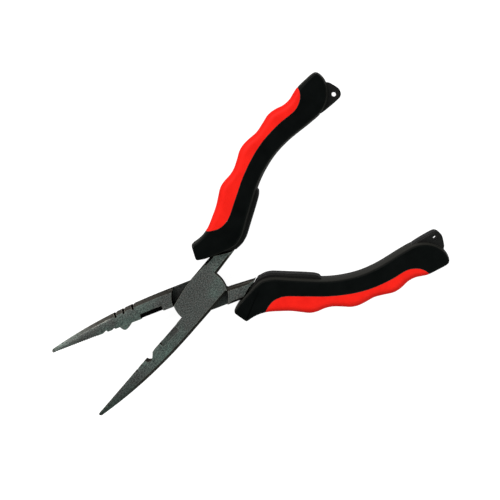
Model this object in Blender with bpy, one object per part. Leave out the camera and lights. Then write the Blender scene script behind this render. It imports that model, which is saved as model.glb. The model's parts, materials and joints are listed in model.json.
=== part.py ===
"""Long-nose fishing pliers: two crossing steel levers on one hidden rivet.

Every outline is drawn flat in its lever's own frame: +X runs along the bite
line from the pivot to the handle, +Y is the side on which the handle stands
away from the other one, and Z is the pivot's axis.  The rear lever uses the
same outlines mirrored in Y.  Outlines are in millimetres; the model is in metres.
"""
import math

import bmesh
import bpy
from mathutils import Vector

MM = 0.001

# ---------------------------------------------------------------- driving sizes
REST_OPENING = math.radians(27.45)  # angle between the two bite lines as they lie
PIVOT_X = -17.55                    # puts the origin midway along the open tool
GRIP_HALF = 9.0                     # half the thickness of a handle
GAP = 0.3                           # clearance between touching pieces
HALF_GAP = GAP / 2
MARGIN = 1.0                        # how far a cutter runs past what it cuts

JAW_LENGTH = 82.2                   # pivot to jaw tip
JAW_BASE_X = -16.0                  # where the jaw leaves the joint
JAW_BASE_WIDTH = 8.75
JAW_TIP_WIDTH = 1.75
JAW_WIDTH_POWER = 2.2               # how late the jaw's outer side curves in
JAW_TIP_HALF = 1.7                  # half thickness at the tip
JAW_CHAMFER = 1.4
JAW_CHAMFER_SHARE = 0.4             # of the jaw's width, where the jaw is narrow
JAW_TIP_NARROWING = 0.7             # the last loop of the jaw against the one behind it
JAW_TIP_THINNING = 0.75
JAW_TIP_SHIFT = 0.2
JAW_STATIONS = 14

JOINT_HALF = 5.0                    # half the thickness of the lapped joint
FRONT_JOINT_RADIUS = 14.0
REAR_JOINT_RADIUS = 12.2            # smaller, so that the front plate covers it
SHOULDER_RADIUS = 14.35             # room cut in each lever for the other one's plate
DISC_STEPS = 96

RIVET_RADIUS = 3.5
RIVET_HEAD_RADIUS = 5.5
RIVET_HEAD_DEPTH = 1.5
RIVET_TOP = 3.0                     # the rivet stops inside the front lever
RIVET_STEPS = 48

NECK_START_X = 14.05
NECK_END_X = 28.8
NECK_END_HALF = 4.3
NECK_CHAMFER = 1.3
NECK_CHAMFER_SHARE = 0.3            # of the neck's width, where the neck is narrow
CHAMFER_TOP = 0.55                  # the chamfers start at this share of the half thickness
TANG_HALF = 1.75
CORE_HALF = 5.0
HOLE_CENTRE = (118.4, 15.0)         # lanyard hole in the core's tail tab
HOLE_RADIUS = 1.1
HOLE_STEPS = 24

CUTTER_SPAN = (-31.9, -19.7)        # side cutter along the bite line
CUTTER_WIDTH = 2.9
CUTTER_EDGE_HALF = 0.4
CUTTER_REACH = 2.0                  # how far the pocket's cutter passes the bite line
HOLLOW_ENDS = (-44.8, -36.4)        # mouth of the hollow for the crimp nose

NOTCH_XS = (-44.0, -39.3, -34.1)    # three grooves across the rear jaw's back
NOTCH_RADIUS = 0.6
NOTCH_DEPTH = 2.4
NOTCH_FLARE = 0.15
NOTCH_REACH = 3.0

# ------------------------------------------------------------------- materials
STEEL = ("dark_steel", (0.085, 0.098, 0.092), 0.42, 0.9)
RIVET_STEEL = ("rivet_steel", (0.20, 0.21, 0.21), 0.35, 1.0)
CORE_PLASTIC = ("core_plastic", (0.012, 0.012, 0.012), 0.55, 0.0)
BLACK_RUBBER = ("black_rubber", (0.008, 0.010, 0.010), 0.60, 0.0)
RED_RUBBER = ("red_rubber", (0.80, 0.020, 0.012), 0.50, 0.0)

# -------------------------------------------------------------------- outlines
# Handle side of the joint plate between the disc's two arcs: x and y.
PLATE_EDGE = [(-8.0, 7.7), (-4.0, 8.4), (0.0, 8.9), (4.0, 9.05)]
# Neck: x, inner y and outer y, from the disc into the handle.
NECK_SECTIONS = [(NECK_START_X, 1.2, 9.05), (16.5, 1.3, 9.05), (20.5, 1.55, 9.1), (24.5, 1.8, 5.75),
                 (NECK_END_X, 2.1, 2.25)]
NECK_OUTLINE = [(x, low) for x, low, high in NECK_SECTIONS] + [
    (x, high) for x, low, high in reversed(NECK_SECTIONS)]
TANG_OUTLINE = [(17.0, 4.6), (26.5, 3.9), (34.0, 5.2), (43.0, 9.0), (52.0, 13.0), (62.0, 17.4),
                (72.0, 19.8), (84.0, 20.6), (95.0, 19.2), (96.2, 20.6), (95.4, 21.9),
                (84.0, 23.0), (71.0, 22.2), (60.0, 19.2), (50.0, 15.4), (40.0, 11.8),
                (30.0, 10.8), (22.0, 9.0), (17.0, 7.6)]

# Grip outline.  The third number is how far the rounding of the edge reaches in.
GRIP_OUTLINE = [
    (17.1, 9.8, 1.2), (15.0, 11.3, 1.2), (13.4, 12.7, 1.3), (13.4, 14.2, 1.4),
    (15.2, 17.2, 1.5), (16.8, 19.6, 1.6), (17.9, 20.1, 1.7), (20.5, 19.5, 1.8),
    (23.7, 19.1, 2.0), (26.9, 19.2, 2.4), (30.3, 19.8, 3.0), (35.0, 21.4, 3.6),
    (40.0, 23.3, 4.0), (44.4, 25.6, 4.0), (47.9, 27.4, 4.0), (51.4, 28.1, 4.0),
    (56.3, 28.0, 4.0), (60.2, 28.7, 4.0), (64.6, 30.5, 4.0), (68.0, 32.0, 4.0),
    (71.6, 32.6, 4.0), (75.5, 32.3, 4.0), (80.4, 31.6, 4.0), (85.2, 32.1, 4.0),
    (90.2, 32.8, 4.0), (94.4, 32.0, 4.0), (98.7, 30.2, 4.0), (102.6, 29.7, 3.8),
    (105.9, 30.2, 3.4), (109.3, 30.6, 2.8), (114.8, 30.1, 2.2), (118.8, 29.5, 2.0),
    (120.6, 28.6, 2.0), (121.3, 26.7, 1.8), (121.0, 23.4, 1.8), (119.4, 20.0, 1.8),
    (116.6, 17.0, 1.8), (112.6, 14.7, 1.8), (107.6, 13.7, 1.8), (100.0, 14.7, 1.8),
    (94.0, 15.9, 1.8), (87.6, 17.0, 1.8), (80.4, 17.5, 1.8), (74.0, 17.1, 1.8),
    (67.0, 15.8, 1.8), (60.5, 13.8, 1.8), (53.0, 10.6, 1.8), (45.5, 7.2, 1.8),
    (39.0, 4.2, 1.8), (35.0, 3.1, 1.8), (31.2, 3.1, 1.6), (26.0, 5.2, 1.4),
    (21.0, 7.8, 1.2)]
PAD_EDGE = [(25.2, 21.5), (26.8, 19.7), (28.5, 18.1), (30.6, 16.4), (33.3, 14.9), (36.7, 14.3),
            (40.6, 14.8), (45.5, 16.7), (52.0, 19.3), (59.5, 22.2), (68.0, 24.6), (76.0, 26.0),
            (83.5, 26.3), (92.1, 25.6), (97.0, 24.6), (101.0, 24.2), (104.8, 25.2),
            (107.4, 26.9), (109.0, 29.0), (109.8, 31.5)]
PAD_OUTER = [(109.8, 36.0), (60.0, 40.0), (25.2, 26.0)]
HANDLE_BOX = [(0.0, -5.0), (130.0, -5.0), (130.0, 45.0), (0.0, 45.0)]

CORE_OUTLINE = [(20.9, 9.6), (29.2, 2.4), (31.2, 1.6), (34.4, 1.3), (37.3, 1.8), (40.1, 2.9),
                (45.1, 5.1), (49.7, 7.1), (54.4, 9.2), (57.5, 10.8), (59.3, 12.4), (60.5, 15.0),
                (68.0, 17.5), (76.0, 18.9), (84.0, 19.0), (92.0, 18.0), (99.0, 16.3),
                (105.5, 14.9), (107.6, 13.6), (112.4, 12.6), (118.0, 11.8), (120.0, 12.0),
                (121.3, 13.2), (122.0, 15.2), (121.6, 18.4), (120.8, 21.0), (117.5, 24.2),
                (110.0, 23.6), (105.5, 22.6), (101.0, 21.9), (92.0, 23.8), (84.0, 24.5),
                (76.0, 24.2), (68.0, 22.7), (59.5, 20.2), (52.0, 17.2), (45.5, 14.5),
                (41.0, 12.9), (36.7, 12.3), (30.5, 13.6), (25.0, 14.0)]

# Crimp nose on the rear jaw, the hollow it closes into, and the small wire seats.
CRIMP_NOSE = [(-44.2, -1.5), (-44.0, 0.0), (-43.3, 1.2), (-42.6, 1.9), (-41.7, 2.2), (-40.8, 2.0),
              (-39.8, 1.3), (-38.6, 0.4), (-37.2, -0.15), (-37.0, -1.5)]
REAR_SEATS = [[(-54.2, 0.4), (-53.0, -0.6), (-51.9, -1.1), (-51.2, -1.0), (-50.5, 0.4)],
              [(-48.9, 0.4), (-48.0, -0.7), (-47.4, -0.9), (-46.9, -0.7), (-46.2, 0.4)]]
FRONT_SEATS = [[(-52.3, 0.4), (-51.6, -0.7), (-51.0, -0.9), (-50.4, -0.7), (-49.7, 0.4)],
               [(-47.6, 0.4), (-47.2, -0.5), (-46.8, -0.6), (-46.4, -0.5), (-46.0, 0.4)]]
NOSE_CLEARANCE = 0.38
NOSE_HALF = 3.2                     # half the nose's thickness

# Edge profile of a handle: share of the edge's reach at each height.
GRIP_LEVELS = [(1.0, 1.0), (0.965, 0.62), (0.87, 0.28), (0.68, 0.08), (0.35, 0.0)]
CORE_LEVELS = [(1.0, 0.7), (0.86, 0.12), (0.0, 0.0)]


# ------------------------------------------------------------------- outlines
def smooth(points, steps=3):
    """Closed Catmull-Rom curve through the points, any number of columns."""
    count = len(points)
    result = []
    for index in range(count):
        before, start, end, after = (points[(index + k) % count] for k in (-1, 0, 1, 2))
        for step in range(steps):
            t = step / steps
            result.append(tuple(
                0.5 * (2 * b + (c - a) * t + (2 * a - 5 * b + 4 * c - d) * t * t
                       + (3 * b - a - 3 * c + d) * t ** 3)
                for a, b, c, d in zip(before, start, end, after)))
    return result


def normals(points):
    """Outward unit normal at each point of a closed outline."""
    area = sum(a[0] * b[1] - b[0] * a[1] for a, b in zip(points, points[1:] + points[:1]))
    turn = 1.0 if area > 0 else -1.0
    result = []
    for index in range(len(points)):
        ahead, behind = points[(index + 1) % len(points)], points[index - 1]
        along = Vector((ahead[0] - behind[0], ahead[1] - behind[1])).normalized()
        result.append(Vector((along.y, -along.x)) * turn)
    return result


def grown(points, distance):
    """The outline moved outwards by a distance."""
    return [(p[0] + n.x * distance, p[1] + n.y * distance)
            for p, n in zip(points, normals(points))]


def circle(radius, steps, centre=(0.0, 0.0)):
    """Points of a circle."""
    return [(centre[0] + radius * math.cos(2 * math.pi * k / steps),
             centre[1] + radius * math.sin(2 * math.pi * k / steps)) for k in range(steps)]


# --------------------------------------------------------------------- meshes
def material(spec):
    """A Principled material from (name, colour, roughness, metallic)."""
    name, colour, roughness, metallic = spec
    found = bpy.data.materials.get(name)
    if found:
        return found
    made = bpy.data.materials.new(name)
    made.use_nodes = True
    shader = made.node_tree.nodes["Principled BSDF"]
    shader.inputs["Base Color"].default_value = (*colour, 1.0)
    shader.inputs["Roughness"].default_value = roughness
    shader.inputs["Metallic"].default_value = metallic
    return made


def lofted(name, loops, frame, side=1, spec=None):
    """Closed body through equal loops of (x, y, z) millimetres, capped at both ends."""
    work = bmesh.new()
    rings = [[work.verts.new((x * MM, y * side * MM, z * MM)) for x, y, z in loop]
             for loop in loops]
    for lower, upper in zip(rings, rings[1:]):
        for k in range(len(lower)):
            following = (k + 1) % len(lower)
            work.faces.new((lower[k], lower[following], upper[following], upper[k]))
    work.faces.new(list(reversed(rings[0])))
    work.faces.new(rings[-1])
    bmesh.ops.recalc_face_normals(work, faces=work.faces)
    mesh = bpy.data.meshes.new(name)
    work.to_mesh(mesh)
    work.free()
    body = bpy.data.objects.new(name, mesh)
    bpy.context.scene.collection.objects.link(body)
    body.parent = frame
    if spec:
        mesh.materials.append(material(spec))
    return body


def prism(name, outline, low, high, frame, side=1, spec=None):
    """Straight slab of an outline between two heights."""
    loops = [[(p[0], p[1], z) for p in outline] for z in (low, high)]
    return lofted(name, loops, frame, side, spec)


def slab(name, outline, half, levels, frame, side=1, spec=None):
    """Slab whose edges are rounded: levels give (height share, inset share)."""
    facing = normals(outline)
    heights = [(-h, inset) for h, inset in levels] + [(h, inset) for h, inset in reversed(levels)]
    if levels[-1][0] == 0.0:
        heights.pop(len(levels))
    loops = []
    for share, inset in heights:
        loop = []
        for p, n in zip(outline, facing):
            reach = (p[2] if len(p) > 2 else 1.0) * inset
            loop.append((p[0] - n.x * reach, p[1] - n.y * reach, share * half))
        loops.append(loop)
    return lofted(name, loops, frame, side, spec)


def combine(body, operation, *others):
    """Boolean modifiers on a body; the other bodies become hidden guides."""
    for other in others:
        step = body.modifiers.new(f"{operation.lower()}_{other.name}", "BOOLEAN")
        step.operation = operation
        step.object = other
        step.solver = "EXACT"
        other.hide_render = True
        other.display_type = "WIRE"
    return body


# --------------------------------------------------------------------- levers
def steel_half(x):
    """Half the lever's thickness at a place along it."""
    if x > NECK_START_X:
        share = (x - NECK_START_X) / (NECK_END_X - NECK_START_X)
        return JOINT_HALF + (NECK_END_HALF - JOINT_HALF) * share
    share = max((JAW_BASE_X - x) / (JAW_LENGTH + JAW_BASE_X), 0.0)
    return JOINT_HALF + (JAW_TIP_HALF - JOINT_HALF) * share


def jaw_width(x):
    """Width of the jaw, from the bite line to its back."""
    share = max((JAW_BASE_X - x) / (JAW_LENGTH + JAW_BASE_X), 0.0)
    return JAW_BASE_WIDTH + (JAW_TIP_WIDTH - JAW_BASE_WIDTH) * share ** JAW_WIDTH_POWER


def cross_section(x, low, high, low_chamfer, high_chamfer):
    """Eight-sided loop across the lever."""
    half = steel_half(x)
    edge = half * CHAMFER_TOP
    return [(x, high - high_chamfer, half), (x, high, edge), (x, high, -edge),
            (x, high - high_chamfer, -half), (x, low + low_chamfer, -half), (x, low, -edge),
            (x, low, edge), (x, low + low_chamfer, half)]


def jaw_loops():
    """Loops of the jaw, from the rounded tip to where it leaves the joint."""
    span = JAW_LENGTH + JAW_BASE_X
    nose = [(x, y * JAW_TIP_NARROWING - JAW_TIP_SHIFT, z * JAW_TIP_THINNING)
            for x, y, z in cross_section(-JAW_LENGTH, -JAW_TIP_WIDTH, -HALF_GAP, 0.5, 0.1)]
    loops = [nose]
    for k in range(JAW_STATIONS):
        x = -JAW_LENGTH + max(span * k / (JAW_STATIONS - 1), 0.5)
        width = jaw_width(x)
        loops.append(cross_section(x, -width, -HALF_GAP, min(JAW_CHAMFER, width * JAW_CHAMFER_SHARE), 0.0))
    return loops


def joint_loops(radius):
    """Loops of the plate: an arc of the disc, straight sides, the other arc, the neck."""
    loops = [cross_section(-FRONT_JOINT_RADIUS, -JAW_BASE_WIDTH, -HALF_GAP, JAW_CHAMFER, 0.0)]
    for degrees in (6, 12, 18, 24, 29):
        angle = math.radians(degrees)
        loops.append(cross_section(-radius * math.cos(angle), -JAW_BASE_WIDTH,
                                   radius * math.sin(angle), JAW_CHAMFER, 0.0))
    for x, high in PLATE_EDGE:
        loops.append(cross_section(x, -JAW_BASE_WIDTH, high, JAW_CHAMFER, 0.2))
    corner = math.asin(JAW_BASE_WIDTH / radius)
    for share in (1.0, 0.83, 0.67, 0.52, 0.36, 0.2, 0.05):
        angle = corner * share
        chamfer = JAW_CHAMFER if share == 1.0 else 0.0
        loops.append(cross_section(radius * math.cos(angle), -radius * math.sin(angle),
                                   NECK_SECTIONS[0][2], chamfer, NECK_CHAMFER * 0.5))
    for x, low, high in NECK_SECTIONS:
        chamfer = min(NECK_CHAMFER, (high - low) * NECK_CHAMFER_SHARE)
        loops.append(cross_section(x, low, high, chamfer, chamfer))
    return loops


def cutter_pockets(prefix, frame, side):
    """Two wedges that leave a cutting edge on the bite line."""
    made = []
    for face in (1, -1):
        top = JOINT_HALF + MARGIN
        surface = steel_half(sum(CUTTER_SPAN) / 2)
        across = [(-CUTTER_WIDTH, top), (-CUTTER_WIDTH, surface), (-HALF_GAP, CUTTER_EDGE_HALF),
                  (CUTTER_REACH, CUTTER_EDGE_HALF), (CUTTER_REACH, top)]
        loops = [[(x, y, z * face) for y, z in across] for x in CUTTER_SPAN]
        made.append(lofted(f"{prefix}_pocket_{face}", loops, frame, side))
    return made


def lever(prefix, frame, side, radius):
    """One steel lever: jaw, half-lapped joint plate, neck and tang."""
    body = lofted(f"{prefix}_lever", jaw_loops() + joint_loops(radius), frame, side, STEEL)
    # The front lever's plate is above the middle plane and the rear one's below it.
    low, high = sorted((side * HALF_GAP, -side * (JOINT_HALF + MARGIN)))
    shoulder = prism(f"{prefix}_shoulder", circle(SHOULDER_RADIUS, DISC_STEPS), low, high, frame)
    tang = prism(f"{prefix}_tang", smooth(TANG_OUTLINE, 2), -TANG_HALF, TANG_HALF, frame, side)
    combine(body, "UNION", tang)
    return combine(body, "DIFFERENCE", shoulder, *cutter_pockets(prefix, frame, side))


def front_jaw_hollows(body, frame):
    """Hollow for the crimp nose, and the front halves of the wire seats."""
    mirrored = [(x, -y) for x, y in CRIMP_NOSE[1:-1]]
    start, end = HOLLOW_ENDS
    hollow = [(start, MARGIN)] + grown(mirrored, NOSE_CLEARANCE) + [(end, MARGIN)]
    outlines = [hollow] + FRONT_SEATS
    cutters = [prism(f"front_seat_{k}", outline, -JOINT_HALF, JOINT_HALF, frame)
               for k, outline in enumerate(outlines)]
    combine(body, "DIFFERENCE", *cutters)


def rear_jaw_features(body, frame):
    """Crimp nose, wire seats, and three grooves across the back of the rear jaw."""
    nose = prism("rear_nose", CRIMP_NOSE, -NOSE_HALF, NOSE_HALF, frame, -1)
    combine(body, "UNION", nose)
    cutters = [prism(f"rear_seat_{k}", outline, -JOINT_HALF, JOINT_HALF, frame, -1)
               for k, outline in enumerate(REAR_SEATS)]
    for k, x in enumerate(NOTCH_XS):
        floor = -jaw_width(x) + NOTCH_DEPTH - NOTCH_RADIUS
        arc = [(x + NOTCH_RADIUS * math.cos(math.radians(a)),
                floor + NOTCH_RADIUS * math.sin(math.radians(a))) for a in range(0, 181, 30)]
        mouth = NOTCH_RADIUS + NOTCH_FLARE
        outline = arc + [(x - mouth, floor - NOTCH_REACH), (x + mouth, floor - NOTCH_REACH)]
        cutters.append(prism(f"rear_notch_{k}", outline, -JOINT_HALF, JOINT_HALF, frame, -1))
    combine(body, "DIFFERENCE", *cutters)


def rivet(frame):
    """Stepped rivet: flush head at the back, shank ending inside the front lever."""
    profile = [(RIVET_HEAD_RADIUS, -JOINT_HALF), (RIVET_HEAD_RADIUS, -JOINT_HALF + RIVET_HEAD_DEPTH),
               (RIVET_RADIUS, -JOINT_HALF + RIVET_HEAD_DEPTH), (RIVET_RADIUS, RIVET_TOP)]
    loops = [[(x, y, z) for x, y in circle(radius, RIVET_STEPS)] for radius, z in profile]
    body = lofted("pivot_rivet", loops, frame, 1, RIVET_STEEL)
    body.data.shade_smooth()
    body.data.set_sharp_from_angle(angle=math.radians(30))
    return body


def rivet_holes(front, rear, front_frame, rear_frame):
    """Blind seat in the front lever; stepped through hole in the rear one."""
    seat = prism("front_rivet_seat", circle(RIVET_RADIUS + GAP, RIVET_STEPS),
                 -MARGIN, RIVET_TOP + GAP, front_frame)
    combine(front, "DIFFERENCE", seat)
    bore = prism("rear_rivet_bore", circle(RIVET_RADIUS + GAP, RIVET_STEPS),
                 -JOINT_HALF - MARGIN, MARGIN, rear_frame)
    sink = prism("rear_rivet_sink", circle(RIVET_HEAD_RADIUS + GAP, RIVET_STEPS),
                 -JOINT_HALF - MARGIN, -JOINT_HALF + RIVET_HEAD_DEPTH + GAP, rear_frame)
    combine(rear, "DIFFERENCE", bore, sink)


# ---------------------------------------------------------------------- grips
def grip_blank(name, frame, side, spec):
    """Whole handle before it is split into shells and pad."""
    outline = smooth(GRIP_OUTLINE, 2)
    return slab(name, outline, GRIP_HALF, GRIP_LEVELS, frame, side, spec)


def core(prefix, frame, side):
    """Hard core on the tang: the inner bump and the tail tab show outside the shells."""
    outline = [(x, y, 1.0) for x, y in smooth(CORE_OUTLINE, 2)]
    body = slab(f"{prefix}_grip_core", outline, CORE_HALF, CORE_LEVELS, frame, side, CORE_PLASTIC)
    slot = prism(f"{prefix}_slot", grown(smooth(TANG_OUTLINE, 2), GAP), -TANG_HALF - GAP,
                 TANG_HALF + GAP, frame, side)
    clearance = prism(f"{prefix}_core_neck", grown(NECK_OUTLINE, GAP), -JOINT_HALF - MARGIN,
                      JOINT_HALF + MARGIN, frame, side)
    hole = prism(f"{prefix}_lanyard", circle(HOLE_RADIUS, HOLE_STEPS, HOLE_CENTRE), -CORE_HALF - MARGIN,
                 CORE_HALF + MARGIN, frame, side)
    return combine(body, "DIFFERENCE", slot, clearance, hole)


def finger_pad(prefix, frame, side):
    """Soft red pad: the waved outer side of the handle."""
    body = grip_blank(f"{prefix}_finger_pad", frame, side, RED_RUBBER)
    region = prism(f"{prefix}_pad_region", PAD_EDGE + PAD_OUTER, -GRIP_HALF - MARGIN,
                   GRIP_HALF + MARGIN, frame, side)
    return combine(body, "INTERSECT", region)


def grip_shell(prefix, label, face, frame, side):
    """Half shell of the handle above (face 1) or below (face -1) the middle plane."""
    body = grip_blank(f"{prefix}_grip_shell_{label}", frame, side, BLACK_RUBBER)
    low, high = sorted((face * HALF_GAP, face * (GRIP_HALF + MARGIN)))
    half = prism(f"{prefix}_{label}_half", HANDLE_BOX, low, high, frame, side)
    pad = prism(f"{prefix}_{label}_pad", grown(PAD_EDGE + PAD_OUTER, GAP), -GRIP_HALF - MARGIN,
                GRIP_HALF + MARGIN, frame, side)
    pocket = prism(f"{prefix}_{label}_pocket", grown(smooth(CORE_OUTLINE, 2), GAP),
                   -CORE_HALF - GAP, CORE_HALF + GAP, frame, side)
    passage = prism(f"{prefix}_{label}_passage", grown(NECK_OUTLINE, GAP), -JOINT_HALF - GAP,
                    JOINT_HALF + GAP, frame, side)
    combine(body, "INTERSECT", half)
    return combine(body, "DIFFERENCE", pad, pocket, passage)


def lever_frame(name, angle):
    """Empty on the pivot's axis, turned to the lever's bite line."""
    frame = bpy.data.objects.new(name, None)
    bpy.context.scene.collection.objects.link(frame)
    frame.location = (PIVOT_X * MM, 0.0, GRIP_HALF * MM)
    frame.rotation_euler = (0.0, 0.0, angle)
    return frame


def build():
    """Empty the scene and build the pliers."""
    for old in list(bpy.data.objects):
        bpy.data.objects.remove(old, do_unlink=True)
    front_frame = lever_frame("front_frame", REST_OPENING / 2)
    rear_frame = lever_frame("rear_frame", -REST_OPENING / 2)
    front = lever("front", front_frame, 1, FRONT_JOINT_RADIUS)
    rear = lever("rear", rear_frame, -1, REAR_JOINT_RADIUS)
    front_jaw_hollows(front, front_frame)
    rear_jaw_features(rear, rear_frame)
    rivet(front_frame)
    rivet_holes(front, rear, front_frame, rear_frame)
    for prefix, frame, side in (("front", front_frame, 1), ("rear", rear_frame, -1)):
        core(prefix, frame, side)
        finger_pad(prefix, frame, side)
        grip_shell(prefix, "top", 1, frame, side)
        grip_shell(prefix, "bottom", -1, frame, side)


build()
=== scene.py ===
"""Long-nose fishing pliers with cushioned handles, dressed for a studio picture.

Each lever is drawn flat in its own frame: +X runs along the bite line from the
pivot to the handle, +Y is the side on which the handle stands away from the other
one, and Z is the pivot's axis.  The rear lever uses the same outlines with Y
turned over.  Outlines are in millimetres; the scene is in metres.
"""
import json
import logging
import math
from dataclasses import dataclass
from enum import Enum
from typing import Iterable, Mapping, Sequence, Union

import bmesh
import bpy
from mathutils import Matrix, Vector

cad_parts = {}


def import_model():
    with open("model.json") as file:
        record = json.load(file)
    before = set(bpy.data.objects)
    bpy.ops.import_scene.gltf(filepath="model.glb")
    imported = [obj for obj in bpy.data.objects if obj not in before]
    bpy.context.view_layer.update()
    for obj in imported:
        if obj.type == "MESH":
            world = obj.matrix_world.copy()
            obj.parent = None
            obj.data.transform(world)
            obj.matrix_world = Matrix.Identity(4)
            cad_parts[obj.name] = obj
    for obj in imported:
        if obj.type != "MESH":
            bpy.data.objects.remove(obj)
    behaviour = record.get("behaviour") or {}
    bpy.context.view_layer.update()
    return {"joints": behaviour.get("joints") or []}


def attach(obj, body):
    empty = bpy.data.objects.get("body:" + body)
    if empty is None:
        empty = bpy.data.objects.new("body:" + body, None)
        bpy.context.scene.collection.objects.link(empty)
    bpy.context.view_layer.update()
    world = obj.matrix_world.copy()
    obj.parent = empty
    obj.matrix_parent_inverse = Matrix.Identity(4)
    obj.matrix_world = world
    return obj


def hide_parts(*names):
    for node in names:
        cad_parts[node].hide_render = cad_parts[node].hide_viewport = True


LOG = logging.getLogger("pliers")
MM = 0.001
BEYOND = 1.0            # how far a cutter reaches past what it cuts, in millimetres
WELD = 0.004            # corners nearer than this become one, in millimetres
SHARP_DEGREES = 38.0    # edges sharper than this stay crisp in the shading
UPRIGHT = 0.5           # a face stands up if its normal's Z is below this
LEVEL = 0.9             # a face lies flat if its normal's Z is above this
ENDWISE = 0.7           # a face looks along the lever if its normal's X is above this
MIDDLE = 0.5            # average of a noise pattern

Point = tuple[float, ...]
Loop = list[Point]
Band = tuple[float, float]
Colour = tuple[float, float, float]

# ------------------------------------------------------------------- outlines
PLATE_EDGE: Loop = [(-8.0, 7.7), (-4.0, 8.4), (0.0, 8.9), (4.0, 9.05)]
NECK_START_X = 14.05
NECK_END_X = 28.8
NECK_SECTIONS: Loop = [(NECK_START_X, 1.2, 9.05), (16.5, 1.3, 9.05), (20.5, 1.55, 9.1),
                       (24.5, 1.8, 5.75), (NECK_END_X, 2.1, 2.25)]
TANG_OUTLINE: Loop = [
    (17.0, 4.6), (26.5, 3.9), (34.0, 5.2), (43.0, 9.0), (52.0, 13.0), (62.0, 17.4),
    (72.0, 19.8), (84.0, 20.6), (95.0, 19.2), (96.2, 20.6), (95.4, 21.9), (84.0, 23.0),
    (71.0, 22.2), (60.0, 19.2), (50.0, 15.4), (40.0, 11.8), (30.0, 10.8), (22.0, 9.0),
    (17.0, 7.6)]
# Handle outline.  The third number is how far the rounding of the edge reaches in.
GRIP_OUTLINE: Loop = [
    (17.1, 9.8, 1.2), (15.0, 11.3, 1.2), (13.4, 12.7, 1.3), (13.4, 14.2, 1.4),
    (15.2, 17.2, 1.5), (16.8, 19.6, 1.6), (17.9, 20.1, 1.7), (20.5, 19.5, 1.8),
    (23.7, 19.1, 2.0), (26.9, 19.2, 2.4), (30.3, 19.8, 3.0), (35.0, 21.4, 3.6),
    (40.0, 23.3, 4.0), (44.4, 25.6, 4.0), (47.9, 27.4, 4.0), (51.4, 28.1, 4.0),
    (56.3, 28.0, 4.0), (60.2, 28.7, 4.0), (64.6, 30.5, 4.0), (68.0, 32.0, 4.0),
    (71.6, 32.6, 4.0), (75.5, 32.3, 4.0), (80.4, 31.6, 4.0), (85.2, 32.1, 4.0),
    (90.2, 32.8, 4.0), (94.4, 32.0, 4.0), (98.7, 30.2, 4.0), (102.6, 29.7, 3.8),
    (105.9, 30.2, 3.4), (109.3, 30.6, 2.8), (114.8, 30.1, 2.2), (118.8, 29.5, 2.0),
    (120.6, 28.6, 2.0), (121.3, 26.7, 1.8), (121.0, 23.4, 1.8), (119.4, 20.0, 1.8),
    (116.6, 17.0, 1.8), (112.6, 14.7, 1.8), (107.6, 13.7, 1.8), (100.0, 14.7, 1.8),
    (94.0, 15.9, 1.8), (87.6, 17.0, 1.8), (80.4, 17.5, 1.8), (74.0, 17.1, 1.8),
    (67.0, 15.8, 1.8), (60.5, 13.8, 1.8), (53.0, 10.6, 1.8), (45.5, 7.2, 1.8),
    (39.0, 4.2, 1.8), (35.0, 3.1, 1.8), (31.2, 3.1, 1.6), (26.0, 5.2, 1.4),
    (21.0, 7.8, 1.2)]
PAD_EDGE: Loop = [
    (25.2, 21.5), (26.8, 19.7), (28.5, 18.1), (30.6, 16.4), (33.3, 14.9), (36.7, 14.3),
    (40.6, 14.8), (45.5, 16.7), (52.0, 19.3), (59.5, 22.2), (68.0, 24.6), (76.0, 26.0),
    (83.5, 26.3), (92.1, 25.6), (97.0, 24.6), (101.0, 24.2), (104.8, 25.2),
    (107.4, 26.9), (109.0, 29.0), (109.8, 31.5)]
PAD_OUTER: Loop = [(109.8, 36.0), (60.0, 40.0), (25.2, 26.0)]
CORE_OUTLINE: Loop = [
    (20.9, 9.6), (29.2, 2.4), (31.2, 1.6), (34.4, 1.3), (37.3, 1.8), (40.1, 2.9),
    (45.1, 5.1), (49.7, 7.1), (54.4, 9.2), (57.5, 10.8), (59.3, 12.4), (60.5, 15.0),
    (68.0, 17.5), (76.0, 18.9), (84.0, 19.0), (92.0, 18.0), (99.0, 16.3),
    (105.5, 14.9), (107.6, 13.6), (112.4, 12.6), (118.0, 11.8), (120.0, 12.0),
    (121.3, 13.2), (122.0, 15.2), (121.6, 18.4), (120.8, 21.0), (117.5, 24.2),
    (110.0, 23.6), (105.5, 22.6), (101.0, 21.9), (92.0, 23.8), (84.0, 24.5),
    (76.0, 24.2), (68.0, 22.7), (59.5, 20.2), (52.0, 17.2), (45.5, 14.5),
    (41.0, 12.9), (36.7, 12.3), (30.5, 13.6), (25.0, 14.0)]
CRIMP_NOSE: Loop = [(-44.2, -1.5), (-44.0, 0.0), (-43.3, 1.2), (-42.6, 1.9), (-41.7, 2.2),
                    (-40.8, 2.0), (-39.8, 1.3), (-38.6, 0.4), (-37.2, -0.15), (-37.0, -1.5)]
REAR_SEATS: list[Loop] = [
    [(-54.2, 0.4), (-53.0, -0.6), (-51.9, -1.1), (-51.2, -1.0), (-50.5, 0.4)],
    [(-48.9, 0.4), (-48.0, -0.7), (-47.4, -0.9), (-46.9, -0.7), (-46.2, 0.4)]]
FRONT_SEATS: list[Loop] = [
    [(-52.3, 0.4), (-51.6, -0.7), (-51.0, -0.9), (-50.4, -0.7), (-49.7, 0.4)],
    [(-47.6, 0.4), (-47.2, -0.5), (-46.8, -0.6), (-46.4, -0.5), (-46.0, 0.4)]]
HANDLE_BOX: Loop = [(0.0, -5.0), (130.0, -5.0), (130.0, 45.0), (0.0, 45.0)]
# Turned mark in the middle of the rivet's head: radius and depth.
RIVET_MARK: Loop = [(0.35, 0.25), (0.9, 0.22), (1.15, 0.05), (1.3, 0.0)]


class Side(Enum):
    """Which of the two levers a piece belongs to."""

    FRONT = 1
    REAR = -1

    @property
    def label(self) -> str:
        """Name of the body that the side's pieces ride on."""
        return self.name.lower()


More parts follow.
